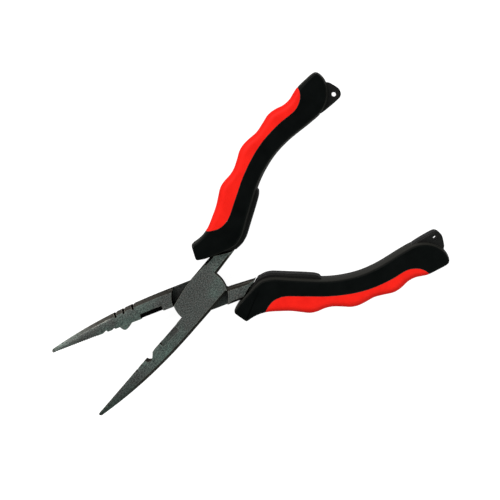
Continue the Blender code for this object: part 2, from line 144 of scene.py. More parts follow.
# The rear plate is the smaller one, so that the front plate covers it.
PLATE_RADII: dict[Side, float] = {Side.FRONT: 14.0, Side.REAR: 12.2}


# ------------------------------------------------------------ flat geometry
def curve_point(corners: Sequence[Point], t: float) -> Point:
    """Find a point of a Catmull-Rom curve between the middle two of four corners.

    Args:
        corners: The four corners, with any number of columns.
        t: How far along the point lies, from 0 to 1.

    Returns:
        The point.
    """
    return tuple(
        0.5 * (2 * b + (c - a) * t + (2 * a - 5 * b + 4 * c - d) * t * t
               + (3 * b - a - 3 * c + d) * t ** 3)
        for a, b, c, d in zip(*corners))


def smooth(points: Sequence[Point], steps: int) -> Loop:
    """Run a closed Catmull-Rom curve through points.

    Args:
        points: Corners, with any number of columns.
        steps: Points on the curve for each corner.

    Returns:
        The curve's points in order.
    """
    count = len(points)
    result: Loop = []
    for index in range(count):
        corners = [points[(index + k) % count] for k in (-1, 0, 1, 2)]
        result += [curve_point(corners, step / steps) for step in range(steps)]
    return result


def normals(points: Sequence[Point]) -> list[Vector]:
    """Find the outward unit normal at each point of a closed outline.

    Args:
        points: The outline, in either direction round.

    Returns:
        One flat vector for each point.
    """
    following = list(points[1:]) + [points[0]]
    area = sum(a[0] * b[1] - b[0] * a[1] for a, b in zip(points, following))
    turn = 1.0 if area > 0 else -1.0
    result = []
    for index in range(len(points)):
        ahead, behind = points[(index + 1) % len(points)], points[index - 1]
        along = Vector((ahead[0] - behind[0], ahead[1] - behind[1])).normalized()
        result.append(Vector((along.y, -along.x)) * turn)
    return result


def grown(points: Sequence[Point], distance: float) -> Loop:
    """Move an outline outwards.

    Args:
        points: The closed outline.
        distance: How far, in millimetres.

    Returns:
        The moved outline, with two columns.
    """
    return [(p[0] + n.x * distance, p[1] + n.y * distance)
            for p, n in zip(points, normals(points))]


def circle(radius: float, steps: int, centre: Point = (0.0, 0.0)) -> Loop:
    """Points of a circle.

    Args:
        radius: In millimetres.
        steps: How many points.
        centre: Where its middle is.

    Returns:
        The points, anticlockwise.
    """
    return [(centre[0] + radius * math.cos(2 * math.pi * k / steps),
             centre[1] + radius * math.sin(2 * math.pi * k / steps)) for k in range(steps)]


def neck_outline() -> Loop:
    """Flat outline of a lever's neck."""
    inner = [(x, low) for x, low, _ in NECK_SECTIONS]
    outer = [(x, high) for x, _, high in reversed(NECK_SECTIONS)]
    return inner + outer


# ------------------------------------------------------------------ mesh work
@dataclass(frozen=True)
class Easing:
    """How sharp edges are rounded: width in millimetres, least angle and faces across."""

    width: float
    degrees: float
    segments: int = 2


@dataclass
class Bench:
    """Makes meshes in one lever's frame and cuts, joins and eases them."""

    side: Side
    place: Matrix

    def lofted(self, name: str, loops: Sequence[Loop]) -> bpy.types.Object:
        """Make a closed body through equal loops.

        Args:
            name: The object's name.
            loops: Loops of (x, y, z) in millimetres, in order.

        Returns:
            The new object, at the lever's place.
        """
        work = bmesh.new()
        turn = self.side.value
        rings = [[work.verts.new((x * MM, y * turn * MM, z * MM)) for x, y, z in loop]
                 for loop in loops]
        for lower, upper in zip(rings, rings[1:]):
            for k in range(len(lower)):
                after = (k + 1) % len(lower)
                work.faces.new((lower[k], lower[after], upper[after], upper[k]))
        work.faces.new(list(reversed(rings[0])))
        work.faces.new(rings[-1])
        bmesh.ops.recalc_face_normals(work, faces=work.faces)
        mesh = bpy.data.meshes.new(name)
        work.to_mesh(mesh)
        work.free()
        body = bpy.data.objects.new(name, mesh)
        bpy.context.scene.collection.objects.link(body)
        body.matrix_world = self.place
        return body

    def prism(self, name: str, outline: Loop, low: float, high: float) -> bpy.types.Object:
        """Make a straight slab of an outline.

        Args:
            name: The object's name.
            outline: Its flat shape.
            low: Height of its underside.
            high: Height of its upper side.

        Returns:
            The new object.
        """
        return self.lofted(name, [[(p[0], p[1], z) for p in outline] for z in (low, high)])

    def combine(self, body: bpy.types.Object, operation: str,
                others: Iterable[bpy.types.Object]) -> bpy.types.Object:
        """Join other bodies to a body or cut them from it, and use them up.

        Args:
            body: What is changed.
            operation: UNION, DIFFERENCE or INTERSECT.
            others: The bodies that are used up.

        Returns:
            The changed body.
        """
        spent = list(others)
        for other in spent:
            step = body.modifiers.new(other.name, "BOOLEAN")
            step.operation = operation
            step.object = other
            step.solver = "EXACT"
        self.settle(body)
        for other in spent:
            bpy.data.objects.remove(other, do_unlink=True)
        return body

    def settle(self, body: bpy.types.Object) -> None:
        """Turn a body's modifiers into its mesh.

        Args:
            body: The object whose modifiers are used up.
        """
        bpy.context.view_layer.update()
        graph = bpy.context.evaluated_depsgraph_get()
        mesh = bpy.data.meshes.new_from_object(body.evaluated_get(graph))
        body.modifiers.clear()
        old = body.data
        body.data = mesh
        bpy.data.meshes.remove(old)
        mesh.name = body.name

    def eased(self, body: bpy.types.Object, easing: Easing) -> bpy.types.Object:
        """Round a body's sharp edges and shade it smooth.

        Args:
            body: What is changed.
            easing: The rounding.

        Returns:
            The changed body.
        """
        work = bmesh.new()
        work.from_mesh(body.data)
        bmesh.ops.remove_doubles(work, verts=work.verts, dist=WELD * MM)
        bmesh.ops.dissolve_degenerate(work, edges=work.edges, dist=WELD * MM)
        work.to_mesh(body.data)
        work.free()
        body.data.shade_smooth()
        body.data.set_sharp_from_angle(angle=math.radians(SHARP_DEGREES))
        step = body.modifiers.new("edges", "BEVEL")
        step.width = easing.width * MM
        step.segments = easing.segments
        step.limit_method = "ANGLE"
        step.angle_limit = math.radians(easing.degrees)
        step.use_clamp_overlap = True
        flats = body.modifiers.new("flats", "WEIGHTED_NORMAL")
        flats.mode = "FACE_AREA"
        flats.weight = 50
        flats.keep_sharp = True
        self.settle(body)
        return body


# ----------------------------------------------------------------- shader work
Feed = Union["Wire", float, Sequence[float]]


@dataclass(frozen=True)
class Grain:
    """A noise pattern: size of its blotches, its finer layers, their strength and stretch."""

    size_mm: float
    detail: float = 2.0
    rough: float = 0.5
    stretch: Point = (1.0, 1.0, 1.0)


class Wire:
    """A shader socket that takes part in arithmetic."""

    def __init__(self, surface: "Surface", socket: bpy.types.NodeSocket) -> None:
        """Keep a socket and the surface that it belongs to."""
        self.surface = surface
        self.socket = socket

    def __add__(self, other: Feed) -> "Wire":
        """Sum."""
        return self.surface.math("ADD", self, other)

    __radd__ = __add__

    def __mul__(self, other: Feed) -> "Wire":
        """Product."""
        return self.surface.math("MULTIPLY", self, other)

    __rmul__ = __mul__

    def __sub__(self, other: Feed) -> "Wire":
        """Difference."""
        return self.surface.math("SUBTRACT", self, other)

    def __rsub__(self, other: Feed) -> "Wire":
        """Difference from a number."""
        return self.surface.math("SUBTRACT", other, self)

    def __pow__(self, other: Feed) -> "Wire":
        """Power."""
        return self.surface.math("POWER", self, other)

    def __rpow__(self, other: Feed) -> "Wire":
        """Power of a number."""
        return self.surface.math("POWER", other, self)

    def __abs__(self) -> "Wire":
        """Size without the sign."""
        return self.surface.math("ABSOLUTE", self, 0.0)


class Surface:
    """A material whose nodes are written as expressions."""

    EDGE_SAMPLES = 6

    def __init__(self, name: str) -> None:
        """Start a material with a Principled shader and the piece's own coordinates."""
        self.material = bpy.data.materials.new(name)
        self.material.use_nodes = True
        self.tree = self.material.node_tree
        self.shader = self.tree.nodes["Principled BSDF"]
        self.place = self.node("ShaderNodeTexCoord").outputs["Object"]

    def node(self, kind: str, settings: Mapping[str, object] | None = None,
             feeds: Mapping[Union[str, int], Feed] | None = None) -> bpy.types.Node:
        """Add one node.

        Args:
            kind: The node's type.
            settings: Its properties, which are set first.
            feeds: Values or links of its sockets, by name or number.

        Returns:
            The new node.
        """
        made = self.tree.nodes.new(kind)
        for key, value in (settings or {}).items():
            setattr(made, key, value)
        for key, value in (feeds or {}).items():
            self.feed(made.inputs[key], value)
        return made

    def feed(self, socket: bpy.types.NodeSocket, value: Feed) -> None:
        """Link or set one socket.

        Args:
            socket: The input.
            value: A wire, a socket, a number or a colour.
        """
        if isinstance(value, Wire):
            self.tree.links.new(value.socket, socket)
        elif isinstance(value, bpy.types.NodeSocket):
            self.tree.links.new(value, socket)
        elif hasattr(value, "__len__") and socket.type == "RGBA":
            socket.default_value = (*tuple(value)[:3], 1.0)
        else:
            socket.default_value = value

    def math(self, operation: str, first: Feed, second: Feed) -> Wire:
        """Add a Math node.

        Args:
            operation: What it does.
            first: Its first value.
            second: Its second value.

        Returns:
            The result.
        """
        made = self.node("ShaderNodeMath", {"operation": operation}, {0: first, 1: second})
        return Wire(self, made.outputs[0])

    def noise(self, grain: Grain) -> Wire:
        """Add a noise pattern.

        Args:
            grain: What it looks like.

        Returns:
            The pattern, with MIDDLE as its average.
        """
        scale = [1.0 / (grain.size_mm * MM * s) for s in grain.stretch]
        mapped = self.node("ShaderNodeMapping", {}, {"Vector": self.place, "Scale": scale})
        made = self.node("ShaderNodeTexNoise", {}, {
            "Vector": mapped.outputs[0], "Scale": 1.0, "Detail": grain.detail,
            "Roughness": grain.rough})
        return Wire(self, made.outputs[0])

    def cells(self, size_mm: float) -> Wire:
        """Distance to the nearest point of a random scatter, 0 at the points."""
        made = self.node("ShaderNodeTexVoronoi", {}, {
            "Vector": self.place, "Scale": 1.0 / (size_mm * MM)})
        return Wire(self, made.outputs["Distance"])

    def between(self, value: Wire, low: float, high: float) -> Wire:
        """Stretch a value so that low becomes 0 and high becomes 1, and clip it."""
        made = self.node("ShaderNodeMapRange", {"clamp": True}, {
            "Value": value, "From Min": low, "From Max": high})
        return Wire(self, made.outputs[0])

    def blend(self, share: Feed, first: Feed, second: Feed) -> Wire:
        """Mix two colours.

        Args:
            share: How much of the second shows.
            first: A colour or wire.
            second: A colour or wire.

        Returns:
            The mixed colour.
        """
        made = self.node("ShaderNodeMix", {"data_type": "RGBA"}, {0: share, 6: first, 7: second})
        return Wire(self, made.outputs[2])

    def edges(self, width_mm: float, low: float, high: float) -> Wire:
        """Find the edges, where a rounded normal leaves the true one.

        Args:
            width_mm: Width of the rounding that is compared.
            low: Difference below which there is no edge.
            high: Difference above which all is edge.

        Returns:
            The mask.
        """
        rounded = self.node("ShaderNodeBevel", {"samples": self.EDGE_SAMPLES},
                            {"Radius": width_mm * MM})
        true = self.node("ShaderNodeNewGeometry").outputs["True Normal"]
        both = self.node("ShaderNodeVectorMath", {"operation": "DOT_PRODUCT"},
                         {0: rounded.outputs[0], 1: true})
        return self.between(1.0 - Wire(self, both.outputs["Value"]), low, high)

    def steepness(self, low: float, high: float) -> Wire:
        """Mask of the faces that stand up from the tool's flat side."""
        true = self.node("ShaderNodeNewGeometry").outputs["True Normal"]
        split = self.node("ShaderNodeSeparateXYZ", {}, {0: true})
        return self.between(1.0 - abs(Wire(self, split.outputs[2])), low, high)

    def painted(self, name: str) -> Wire:
        """Read a mask that is stored on the mesh."""
        made = self.node("ShaderNodeAttribute", {"attribute_name": name})
        return Wire(self, made.outputs["Fac"])

    def bump(self, height: Wire, depth_mm: float, strength: float = 1.0) -> Wire:
        """Add a Bump node.

        Args:
            height: The relief.
            depth_mm: Its depth, in millimetres.
            strength: How much of it shows.

        Returns:
            The bumped normal.
        """
        made = self.node("ShaderNodeBump", {}, {
            "Strength": strength, "Distance": depth_mm * MM, "Height": height})
        return Wire(self, made.outputs[0])

    def finish(self, **feeds: Feed) -> bpy.types.Material:
        """Feed the shader's sockets.

        Args:
            feeds: Socket names, with underscores for spaces, and their values.

        Returns:
            The material.
        """
        for name, value in feeds.items():
            self.feed(self.shader.inputs[name.replace("_", " ")], value)
        return self.material


# -------------------------------------------------------------------- finishes
@dataclass(frozen=True)
class BlastedSteel:
    """Forged steel, fine blasted and darkened, rubbed paler along its edges as wear and painted
    highlight, with painted shade on steep faces and in recesses.
    """

    name: str = "blasted_steel"
    slot: str = "dark_steel"
    deep: Colour = (0.036, 0.040, 0.038)
    pale: Colour = (0.155, 0.168, 0.160)
    green_deep: Colour = (0.036, 0.052, 0.046)
    green_pale: Colour = (0.170, 0.235, 0.208)
    warm: Colour = (0.150, 0.118, 0.112)
    # Dark brown-black colours painted on steep faces as shade, varied in patches, darker than the
    # flat faces.
    scale: Colour = (0.030, 0.029, 0.026)
    scale_pale: Colour = (0.066, 0.064, 0.056)
    # Near-black colour of the painted shade that the stored mask lays on recesses, walls and
    # pockets.
    soot: Colour = (0.004, 0.004, 0.004)
    # Pale colour of the edges: partly wear, partly painted highlight.
    worn: Colour = (0.55, 0.52, 0.45)
    grazing: Colour = (0.22, 0.22, 0.22)
    cloud: Grain = Grain(24.0, 2.0, 0.5)
    grain: Grain = Grain(0.56, 2.0, 0.65)
    grain_share: float = 0.85
    grain_band: Band = (0.39, 0.63)
    green_band: Band = (0.44, 0.58)
    speck: Grain = Grain(0.6, 1.0, 0.5, (1.0, 1.0, 1.6))
    speck_band: Band = (0.52, 0.70)
    speck_share: float = 0.35
    steep_band: Band = (0.10, 0.22)
    scale_band: Band = (0.38, 0.62)
    scale_cloud: float = 0.4
    edge_mm: float = 0.30
    edge_band: Band = (0.02, 0.12)
    wear: Grain = Grain(1.6, 3.0)
    wear_band: Band = (0.30, 0.56)
    wear_share: float = 0.70
    roughness: float = 0.40
    rough_by_grain: float = 0.16
    rough_by_cloud: float = 0.08
    rough_by_slope: float = 0.1
    polish_by_wear: float = 0.12
    metallic: float = 0.93
    pits: Grain = Grain(0.30, 1.0)
    pit_share: float = 0.5
    relief_mm: float = 0.035
    relief_share: float = 0.8

    def make(self) -> bpy.types.Material:
        """Build the material."""
        s = Surface(self.name)
        cloud = s.noise(self.cloud)
        grain = s.noise(self.grain)
        speck = s.noise(self.speck)
        tone = s.between(cloud * (1.0 - self.grain_share) + grain * self.grain_share,
                         *self.grain_band)
        grey = s.blend(tone, self.deep, self.pale)
        green = s.blend(tone, self.green_deep, self.green_pale)
        base = s.blend(s.between(cloud, *self.green_band), grey, green)
        base = s.blend(s.between(speck, *self.speck_band) * self.speck_share, base, self.warm)
        # The stored mask is 1 where shade is painted in full, and below 0 on steep faces that are
        # kept free of the painted shade of steep faces.
        paint = s.painted("soot")
        painted_shade_share = s.between(paint, 0.0, 1.0)
        # Steep faces are blended towards the darker colours below, as painted shade.
        side = s.steepness(*self.steep_band) * s.between(paint + 1.0, 0.0, 1.0)
        patches = grain * (1.0 - self.scale_cloud) + cloud * self.scale_cloud
        scale = s.blend(s.between(patches, *self.scale_band), self.scale, self.scale_pale)
        base = s.blend(side, base, scale)
        # Edges are painted paler in patches, partly as wear and partly as painted highlight.
        patchy = s.between(s.noise(self.wear), *self.wear_band)
        rubbed = s.edges(self.edge_mm, *self.edge_band) * patchy
        base = s.blend(rubbed * self.wear_share, base, self.worn)
        # Painted shade from the stored mask.
        base = s.blend(painted_shade_share, base, self.soot)
        rough = (self.roughness + grain * self.rough_by_grain + cloud * self.rough_by_cloud
                 - rubbed * self.polish_by_wear + side * self.rough_by_slope)
        metal = s.between(painted_shade_share + self.metallic, 0.0, 1.0)
        pits = s.noise(self.pits)
        relief = s.bump(grain + pits * self.pit_share, self.relief_mm, self.relief_share)
        return s.finish(Base_Color=base, Roughness=rough, Metallic=metal, Normal=relief,
                        Specular_Tint=self.grazing)


@dataclass(frozen=True)
class GroundSteel:
    """Plain ground steel of the rivet's head, with turning rings."""

    name: str = "ground_steel"
    slot: str = "rivet_steel"
    base: Colour = (0.26, 0.27, 0.27)
    pale: Colour = (0.45, 0.46, 0.46)
    ring_mm: float = 0.18
    ring_share: float = 0.3
    grain: Grain = Grain(0.4, 3.0)
    grain_band: Band = (0.3, 0.7)
    roughness: float = 0.28
    rough_by_grain: float = 0.2
    relief_mm: float = 0.01
    relief_share: float = 0.7

    def make(self) -> bpy.types.Material:
        """Build the material."""
        s = Surface(self.name)
        split = s.node("ShaderNodeSeparateXYZ", {}, {0: s.place})
        x, y = Wire(s, split.outputs[0]), Wire(s, split.outputs[1])
        radius = (x * x + y * y) ** 0.5
        rings = s.math("SINE", radius * (2 * math.pi / (self.ring_mm * MM)), 0.0)
        grain = s.noise(self.grain)
        base = s.blend(s.between(grain, *self.grain_band), self.base, self.pale)
        rough = self.roughness + grain * self.rough_by_grain
        relief = s.bump(rings * self.ring_share + grain, self.relief_mm, self.relief_share)
        return s.finish(Base_Color=base, Roughness=rough, Metallic=1.0, Normal=relief)


@dataclass(frozen=True)
class MouldedRubber:
    """Matt moulded rubber with a fine stipple, its edges painted paler as painted highlight and,
    where asked, its steep flanks painted lighter as painted light.
    """

    name: str
    slot: str
    low: Colour
    high: Colour
    roughness: float
    gloss: float
    stipple: Grain = Grain(0.30, 2.0, 0.5)
    relief_mm: float = 0.010
    # Paler colour painted along the edges, as painted highlight.
    rubbed: Colour = (0.060, 0.060, 0.056)
    rub_share: float = 0.8
    # Lighter colour painted on steep flanks, as painted light.
    flank: Colour = (0.024, 0.024, 0.021)
    flank_share: float = 0.0
    flank_band: Band = (0.25, 0.75)
    cloud: Grain = Grain(9.0, 3.0, 0.6)
    cloud_share: float = 0.7
    tone_band: Band = (0.36, 0.64)
    edge_mm: float = 0.5
    edge_band: Band = (0.02, 0.12)
    wear: Grain = Grain(2.2, 3.0)
    wear_band: Band = (0.25, 0.6)
    rough_by_cloud: float = 0.25
    rough_by_stipple: float = 0.2
    swell_share: float = 0.8

    def make(self) -> bpy.types.Material:
        """Build the material."""
        s = Surface(self.name)
        cloud = s.noise(self.cloud)
        fine = s.noise(self.stipple)
        tone = cloud * self.cloud_share + fine * (1.0 - self.cloud_share)
        base = s.blend(s.between(tone, *self.tone_band), self.low, self.high)
        # Steep flanks are painted lighter than the top, as painted light.
        if self.flank_share:
            flank = s.steepness(*self.flank_band) * self.flank_share
            base = s.blend(flank, base, self.flank)
        # Edges painted paler in patches, as painted highlight.
        patchy = s.between(s.noise(self.wear), *self.wear_band)
        edge_highlight = s.edges(self.edge_mm, *self.edge_band) * patchy
        base = s.blend(edge_highlight * self.rub_share, base, self.rubbed)
        rough = (self.roughness + (cloud - MIDDLE) * self.rough_by_cloud
                 + (fine - MIDDLE) * self.rough_by_stipple)
        relief = s.bump(fine + cloud * self.swell_share, self.relief_mm)
        return s.finish(Base_Color=base, Roughness=rough, Specular_IOR_Level=self.gloss,
                        Normal=relief)


@dataclass(frozen=True)
class SparkPlastic:
    """Hard black plastic with a coarse spark finish that glitters."""

    name: str = "spark_plastic"
    slot: str = "core_plastic"
    low: Colour = (0.0010, 0.0010, 0.0010)
    high: Colour = (0.0060, 0.0060, 0.0056)
    grit_mm: float = 0.7
    grit_band: Band = (0.0, 0.8)
    grit_share: float = 0.7
    fine: Grain = Grain(0.5, 3.0, 0.6)
    fine_band: Band = (0.35, 0.65)
    roughness: float = 0.30
    rough_by_grit: float = 0.3
    rough_by_fine: float = 0.12
    gloss: float = 0.13
    relief_mm: float = 0.035
    relief_share: float = 0.7

    def make(self) -> bpy.types.Material:
        """Build the material."""
        s = Surface(self.name)
        grit = s.cells(self.grit_mm)
        fine = s.noise(self.fine)
        base = s.blend(s.between(fine, *self.fine_band), self.low, self.high)
        rough = (s.between(grit, *self.grit_band) * self.rough_by_grit + self.roughness
                 + fine * self.rough_by_fine)
        relief = s.bump(grit * self.grit_share + fine, self.relief_mm, self.relief_share)
        return s.finish(Base_Color=base, Roughness=rough, Specular_IOR_Level=self.gloss,
                        Normal=relief)


Finish = Union[BlastedSteel, GroundSteel, MouldedRubber, SparkPlastic]
# The black rubber's steep flanks are painted lighter than its top, as painted light.
BLACK_RUBBER = MouldedRubber(
    "stippled_black", "black_rubber", low=(0.0006, 0.0011, 0.0010), high=(0.0016, 0.0023, 0.0022),
    roughness=0.48, gloss=0.035, flank_share=0.8)
# The red rubber's edges are painted a brighter red, as painted highlight.
RED_RUBBER = MouldedRubber(
    "satin_red", "red_rubber", low=(0.66, 0.0075, 0.0035), high=(0.78, 0.0115, 0.0055),
    roughness=0.55, gloss=0.08, stipple=Grain(0.45, 2.0, 0.5), relief_mm=0.012,
    rubbed=(0.95, 0.05, 0.03), rub_share=0.35)


def dressed(body: bpy.types.Object, finish: Finish, rides: str, node: str) -> bpy.types.Object:
    """Give a piece its finish and tie it to the frame.

    Args:
        body: The finished mesh object.
        finish: What its surface is.
        rides: The body that it moves with.
        node: The frame's node that it stands for.

    Returns:
        The piece.
    """
    made = bpy.data.materials.get(finish.name) or finish.make()
    body.data.transform(body.matrix_world)
    body.matrix_world = Matrix.Identity(4)
    body.data.materials.clear()
    body.data.materials.append(made)
    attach(body, rides)
    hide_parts(node)
    LOG.info("%s: %d faces", body.name, len(body.data.polygons))
    return body


# ------------------------------------------------------------------- the rivet
@dataclass
class Rivet:
    """Pivot rivet: a flush head at the back and a shank that ends inside the front lever."""

    bench: Bench
    shank: float = 3.5
    head: float = 5.5
    head_depth: float = 1.5
    back: float = -5.0
    top: float = 3.0
    corner: float = 0.3
    sharp_degrees: float = 35.0
    steps: int = 96

    def build(self) -> bpy.types.Object:
        """Build the rivet and dress it."""
        corner, back, floor = self.corner, self.back, self.back + self.head_depth
        profile = [(radius, back + depth) for radius, depth in RIVET_MARK]
        profile += [(self.head - corner, back), (self.head, back + corner), (self.head, floor),
                    (self.shank, floor), (self.shank, self.top - corner),
                    (self.shank - corner, self.top)]
        loops = [[(x, y, z) for x, y in circle(radius, self.steps)] for radius, z in profile]
        body = self.bench.lofted("pivot_rivet_turned", loops)
        body.data.shade_smooth()
        body.data.set_sharp_from_angle(angle=math.radians(self.sharp_degrees))
        return dressed(body, GroundSteel(), Side.FRONT.label, "pivot_rivet")


# ------------------------------------------------------------------ the levers
@dataclass
class Lever:
    """One forged lever: jaw, half-lapped plate, neck and tang.  Sizes are in millimetres."""

    bench: Bench
    plate_radius: float
    rivet: Rivet
    # the jaw
    jaw_length: float = 82.2
    base_x: float = -16.0
    base_width: float = 8.75
    tip_width: float = 1.75
    width_power: float = 2.2
    tip_half: float = 1.7
    tip_chamfers: Band = (0.5, 0.1)
    tip_shrink: Band = (0.7, 0.75)
    tip_shift: float = 0.2
    tip_run: float = 0.5
    chamfer: float = 1.4
    chamfer_share: float = 0.4
    stations: int = 40
    half: float = 5.0
    gap: float = 0.15
    # the plate, the neck and the tang
    widest_radius: float = 14.0
    arc_degrees: float = 29.0
    arc_steps: int = 10
    plate_chamfer: float = 0.2
    corner_share: float = 0.95
    corner_steps: int = 12
    shoulder_radius: float = 14.35
    shoulder_steps: int = 128
    neck_end_half: float = 4.3
    neck_chamfer: float = 1.3
    neck_chamfer_share: float = 0.3
    chamfer_top: float = 0.55
    tang_half: float = 1.75
    tang_steps: int = 3
    # the crown of the flat sides
    crown: float = 0.30
    crown_run: float = 14.0
    crown_steps: int = 6
    # the cutter, the teeth, the crimp nose and the grooves
    cutter_span: Band = (-31.9, -19.7)
    cutter_width: float = 2.9
    cutter_edge: float = 0.4
    teeth: Band = (-80.6, -56.0)
    tooth_pitch: float = 1.2
    tooth_depth: float = 0.32
    tooth_lift: float = 0.05
    nose_half: float = 3.2
    hollow_ends: Band = (-44.8, -36.4)
    hollow_gap: float = 0.38
    notch_xs: Point = (-44.0, -39.3, -34.1)
    notch_radius: float = 0.6
    notch_depth: float = 2.4
    notch_flare: float = 0.15
    notch_reach: float = 3.0
    notch_degrees: int = 15
    rivet_gap: float = 0.12
    # how dark each place is painted as shade, and how it is told apart
    tip_soot: float = 0.42
    tip_soot_run: Band = (-50.0, 24.0)
    pocket_soot: float = 0.92
    pocket_bare: float = -0.85
    pocket_slack: float = 0.1
    pocket_rim: float = 0.15
    wall_soot: float = 0.95
    wall_slack: float = 0.3
    wall_rim: float = 0.2
    recess_soot: float = 0.62
    recess_slack: float = 0.4
    rim_soot: float = 0.7
    rim_corner: Band = (6.0, 7.0)
    easing: Easing = Easing(0.16, 32.0)
    finish: BlastedSteel = BlastedSteel()

    def half_at(self, x: float) -> float:
        """Half the lever's thickness at a place along it."""
        if x > NECK_START_X:
            share = (x - NECK_START_X) / (NECK_END_X - NECK_START_X)
            return self.half + (self.neck_end_half - self.half) * share
        share = max((self.base_x - x) / (self.jaw_length + self.base_x), 0.0)
        return self.half + (self.tip_half - self.half) * share

    def width_at(self, x: float) -> float:
        """Width of the jaw from the bite line to its back."""
        share = max((self.base_x - x) / (self.jaw_length + self.base_x), 0.0)
        return self.base_width + (self.tip_width - self.base_width) * share ** self.width_power

    def across(self, x: float, low: float, high: float, low_cut: float,
               high_cut: float) -> Loop:
        """Make a chamfered loop across the lever, its flat sides slightly crowned.

        Args:
            x: Its place along the lever.
            low: Lowest y.
            high: Highest y.
            low_cut: Width of the chamfers on the low side.
            high_cut: Width of the chamfers on the high side.

        Returns:
            The loop's points.
        """
        half = self.half_at(x)
        edge = half * self.chamfer_top
        fall = self.crown * min(max((self.base_x - x) / self.crown_run, 0.0), 1.0)
        top_low, top_high = low + low_cut, high - high_cut
        top = []
        for k in range(self.crown_steps + 1):
            share = k / self.crown_steps
            y = top_low + (top_high - top_low) * share
            top.append((x, y, half - fall * (2.0 * share - 1.0) ** 2))
        under = [(x, y, -z) for x, y, z in reversed(top)]
        return [(x, high, edge), (x, high, -edge), *under, (x, low, -edge), (x, low, edge), *top]

    def jaw_loops(self) -> list[Loop]:
        """Make the loops of the jaw, from its rounded tip to the joint."""
        span = self.jaw_length + self.base_x
        narrow, thin = self.tip_shrink
        tip = self.across(-self.jaw_length, -self.tip_width, -self.gap, *self.tip_chamfers)
        loops = [[(x, y * narrow - self.tip_shift, z * thin) for x, y, z in tip]]
        for k in range(self.stations):
            x = -self.jaw_length + max(span * k / (self.stations - 1), self.tip_run)
            width = self.width_at(x)
            cut = min(self.chamfer, width * self.chamfer_share)
            loops.append(self.across(x, -width, -self.gap, cut, 0.0))
        return loops

    def joint_loops(self) -> list[Loop]:
        """Make the loops of the plate, between its disc's two arcs, and of the neck."""
        low = -self.base_width
        loops = [self.across(-self.widest_radius, low, -self.gap, self.chamfer, 0.0)]
        for k in range(1, self.arc_steps + 1):
            angle = math.radians(self.arc_degrees) * k / self.arc_steps
            loops.append(self.across(-self.plate_radius * math.cos(angle), low,
                                     self.plate_radius * math.sin(angle), self.chamfer, 0.0))
        for x, high in PLATE_EDGE:
            loops.append(self.across(x, low, high, self.chamfer, self.plate_chamfer))
        corner = math.asin(self.base_width / self.plate_radius)
        for k in range(self.corner_steps + 1):
            angle = corner * (1.0 - self.corner_share * k / self.corner_steps)
            cut = self.chamfer if k == 0 else 0.0
            loops.append(self.across(self.plate_radius * math.cos(angle),
                                     -self.plate_radius * math.sin(angle),
                                     NECK_SECTIONS[0][2], cut, self.neck_chamfer / 2))
        for x, inner, outer in NECK_SECTIONS:
            cut = min(self.neck_chamfer, (outer - inner) * self.neck_chamfer_share)
            loops.append(self.across(x, inner, outer, cut, cut))
        return loops

    def pockets(self) -> list[bpy.types.Object]:
        """Make the two wedges that leave a cutting edge on the bite line."""
        top = self.half + BEYOND
        far = 2 * BEYOND
        surface = self.half_at(sum(self.cutter_span) / 2)
        made = []
        for face in (1, -1):
            section = [(-self.cutter_width, top), (-self.cutter_width, surface),
                       (-self.gap, self.cutter_edge), (far, self.cutter_edge), (far, top)]
            loops = [[(x, y, z * face) for y, z in section] for x in self.cutter_span]
            made.append(self.bench.lofted(f"pocket_{face}", loops))
        return made

    def tooth_comb(self) -> bpy.types.Object:
        """Make the comb that cuts the fine teeth into the bite face."""
        start, end = self.teeth
        count = int((end - start) / self.tooth_pitch)
        crest = -self.gap + self.tooth_lift
        outline: Loop = [(start, BEYOND)]
        for k in range(count):
            x = start + k * self.tooth_pitch
            outline.append((x, crest))
            outline.append((x + self.tooth_pitch / 2, -self.gap - self.tooth_depth))
        outline.append((start + count * self.tooth_pitch, crest))
        outline.append((start + count * self.tooth_pitch, BEYOND))
        return self.bench.prism("teeth", outline, -self.half, self.half)

    def rivet_bores(self) -> list[bpy.types.Object]:
        """Make the cutters for the front lever's blind seat or the rear one's stepped hole."""
        rivet, gap, bottom = self.rivet, self.rivet_gap, -self.half - BEYOND
        shank = circle(rivet.shank + gap, rivet.steps)
        if self.bench.side is Side.FRONT:
            return [self.bench.prism("seat", shank, -BEYOND, rivet.top + gap)]
        head = circle(rivet.head + gap, rivet.steps)
        floor = rivet.back + rivet.head_depth + gap
        return [self.bench.prism("bore", shank, bottom, BEYOND),
                self.bench.prism("sink", head, bottom, floor)]

    def front_cutters(self) -> list[bpy.types.Object]:
        """Make the cutters for the crimp nose's hollow and the front wire seats."""
        mirrored = [(x, -y) for x, y in CRIMP_NOSE[1:-1]]
        start, end = self.hollow_ends
        hollow = [(start, BEYOND)] + grown(mirrored, self.hollow_gap) + [(end, BEYOND)]
        return [self.bench.prism(f"seat_{k}", outline, -self.half, self.half)
                for k, outline in enumerate([hollow] + FRONT_SEATS)]

    def rear_cutters(self) -> list[bpy.types.Object]:
        """Make the cutters for the rear wire seats and the grooves across the jaw's back."""
        made = [self.bench.prism(f"seat_{k}", outline, -self.half, self.half)
                for k, outline in enumerate(REAR_SEATS)]
        turns = [math.radians(a) for a in range(0, 181, self.notch_degrees)]
        flare = self.notch_radius + self.notch_flare
        for k, x in enumerate(self.notch_xs):
            floor = -self.width_at(x) + self.notch_depth - self.notch_radius
            mouth = floor - self.notch_reach
            arc = [(x + self.notch_radius * math.cos(turn),
                    floor + self.notch_radius * math.sin(turn)) for turn in turns]
            outline = arc + [(x - flare, mouth), (x + flare, mouth)]
            made.append(self.bench.prism(f"notch_{k}", outline, -self.half, self.half))
        return made

